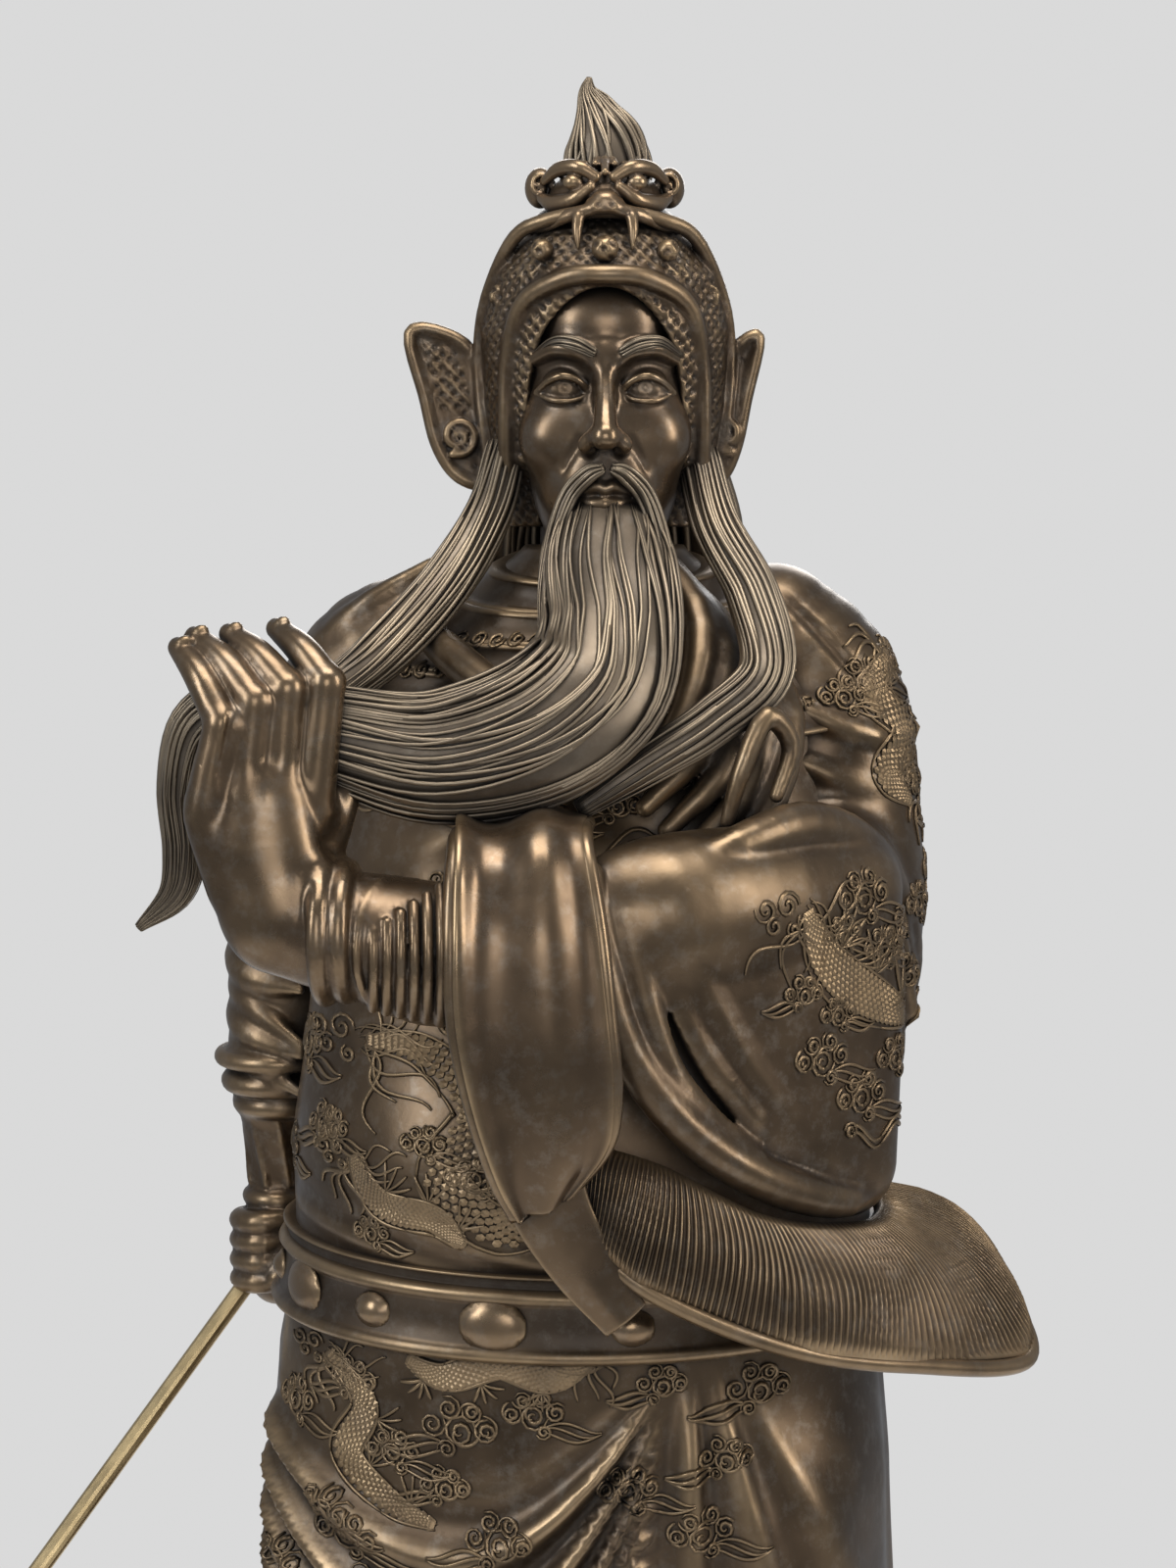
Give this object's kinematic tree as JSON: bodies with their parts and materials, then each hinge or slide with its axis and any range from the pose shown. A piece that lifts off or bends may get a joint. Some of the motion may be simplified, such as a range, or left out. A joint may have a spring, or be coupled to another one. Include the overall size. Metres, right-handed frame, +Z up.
{
  "type": "bronze statue of a robed general",
  "caption": "Standing bearded general in a robe and crested hat, cast in bronze on a low rounded base, one hand on his beard and the other trailing a pole weapon.",
  "frame": {"origin": "centre of the base's underside", "axes": "+Z up along the figure, front of the figure towards -Y, +X to the viewer's right"},
  "size_m": [0.5616, 0.2541, 0.8001],
  "materials": {
    "bronze": "brown patina, rubbed to gold-brown on raised edges, satin",
    "brass": "aged brass rod, satin"
  },
  "bodies": {
    "root": {"base": "bronze", "figure": "bronze", "pole_shaft": "brass", "pole_butt_ferrule": "brass", "pole_blade": "bronze"}
  },
  "joints": []
}
